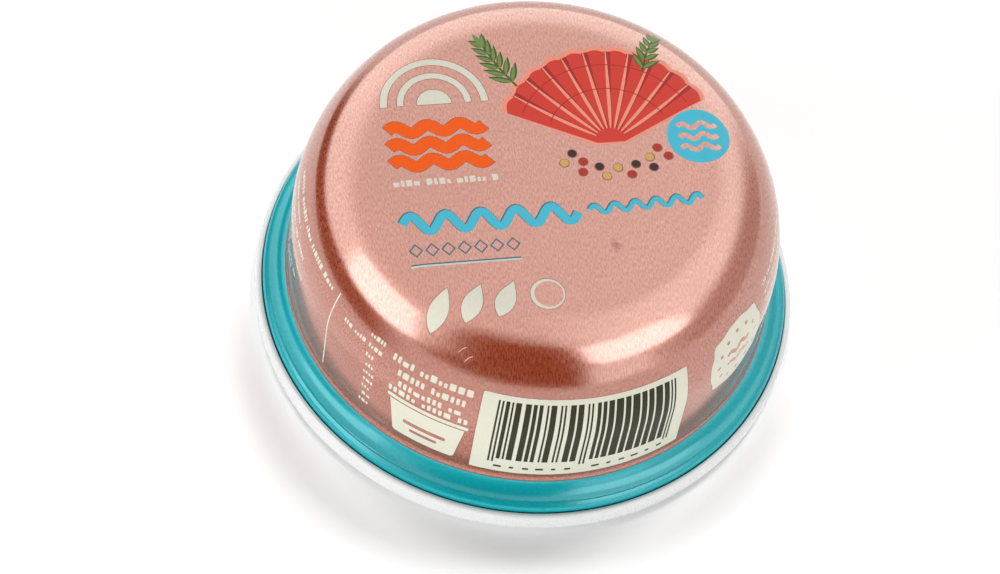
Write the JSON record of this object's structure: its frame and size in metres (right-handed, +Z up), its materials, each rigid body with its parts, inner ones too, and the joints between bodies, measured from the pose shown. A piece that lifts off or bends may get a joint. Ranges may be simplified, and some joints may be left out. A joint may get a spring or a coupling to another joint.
{
  "type": "pate tin",
  "caption": "Small drawn aluminium tin of fish pate, shut, standing on its white lid with the copper-coloured printed face up.",
  "frame": {"origin": "centre of the foot ring of the lid, in the plane that the tin stands on", "axes": "+Z up along the tin's axis towards the printed face; the print reads from -Y"},
  "size_m": [0.0767, 0.0766, 0.0324],
  "materials": {
    "copper_lacquer": "glossy tinted lacquer over drawn aluminium, printed",
    "white_lacquer": "semi-gloss white lacquer on aluminium"
  },
  "bodies": {
    "root": {"can_body": "copper_lacquer", "lid": "white_lacquer"}
  },
  "joints": []
}
